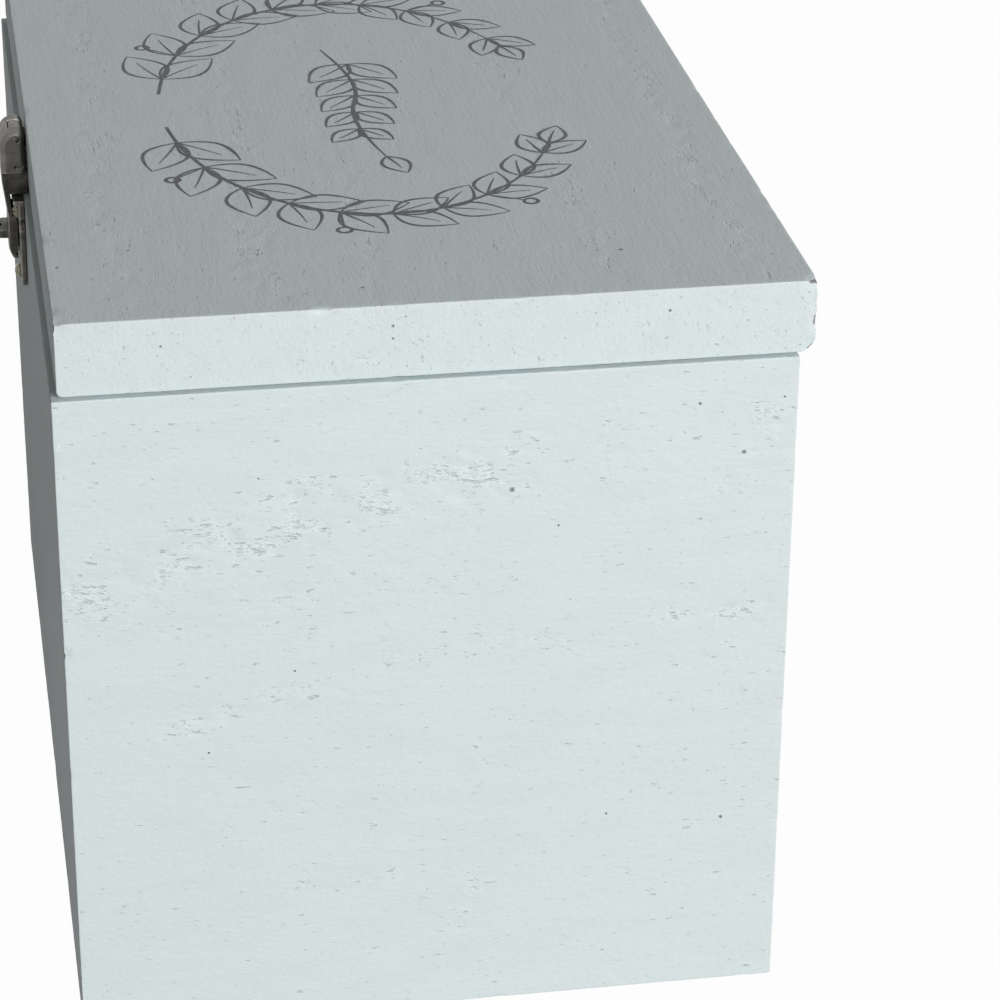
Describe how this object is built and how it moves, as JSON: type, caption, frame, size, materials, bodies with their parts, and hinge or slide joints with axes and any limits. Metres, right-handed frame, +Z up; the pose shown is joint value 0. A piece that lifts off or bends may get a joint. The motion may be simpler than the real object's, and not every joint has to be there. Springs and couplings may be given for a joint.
{
  "type": "keepsake box",
  "caption": "Painted wooden keepsake box: rabbeted boards, a bottom panel let into a rabbet, a lid on let-in butt hinges and a small cast hasp over a staple at the front.",
  "frame": {"origin": "centre of the box's underside, on the surface that it stands on", "axes": "+X along the box's length to its right end, +Y to the back where the lid is hinged, +Z up"},
  "size_m": [0.198, 0.1372, 0.139],
  "materials": {
    "painted_wood": "off-white paint over planed softwood, grain and pits showing through",
    "painted_panel": "off-white paint on thin plywood",
    "painted_brads": "steel brads, heads flush and painted over with the boards",
    "steel_brads": "bare steel brads, dull",
    "aged_bronze": "cast, antique bronze finish, dark in the hollows and rubbed on the edges",
    "hinge_bronze": "stamped, antique bronze finish",
    "screw_brass": "small brass screws, dulled"
  },
  "bodies": {
    "box": {"front_board": "painted_wood", "back_board": "painted_wood", "left_end_board": "painted_wood", "right_end_board": "painted_wood", "bottom_panel": "painted_panel", "left_end_brads": "painted_brads", "right_end_brads": "painted_brads", "panel_brads": "steel_brads", "catch_plate": "aged_bronze", "catch_staple": "aged_bronze", "catch_screws": "screw_brass", "left_hinge_body_leaf": "hinge_bronze", "left_hinge_pin": "hinge_bronze", "left_hinge_body_screws": "screw_brass", "right_hinge_body_leaf": "hinge_bronze", "right_hinge_pin": "hinge_bronze", "right_hinge_body_screws": "screw_brass"},
    "lid": {"lid_board": "painted_wood", "hasp_leaf": "aged_bronze", "hasp_leaf_screws": "screw_brass", "hasp_pin": "aged_bronze", "left_hinge_lid_leaf": "hinge_bronze", "left_hinge_lid_screws": "screw_brass", "right_hinge_lid_leaf": "hinge_bronze", "right_hinge_lid_screws": "screw_brass"},
    "hasp": {"hasp_strap": "aged_bronze"}
  },
  "joints": [
    {"name": "lid_hinge", "type": "hinge", "parent": "box", "child": "lid", "pos_m": [0, 0.0635, 0.12558], "axis": [-1, 0, 0], "range_deg": [0, 110]},
    {"name": "hasp_hinge", "type": "hinge", "parent": "lid", "child": "hasp", "pos_m": [0, -0.06435, 0.1365], "axis": [-1, 0, 0], "range_deg": [0, 110]}
  ]
}
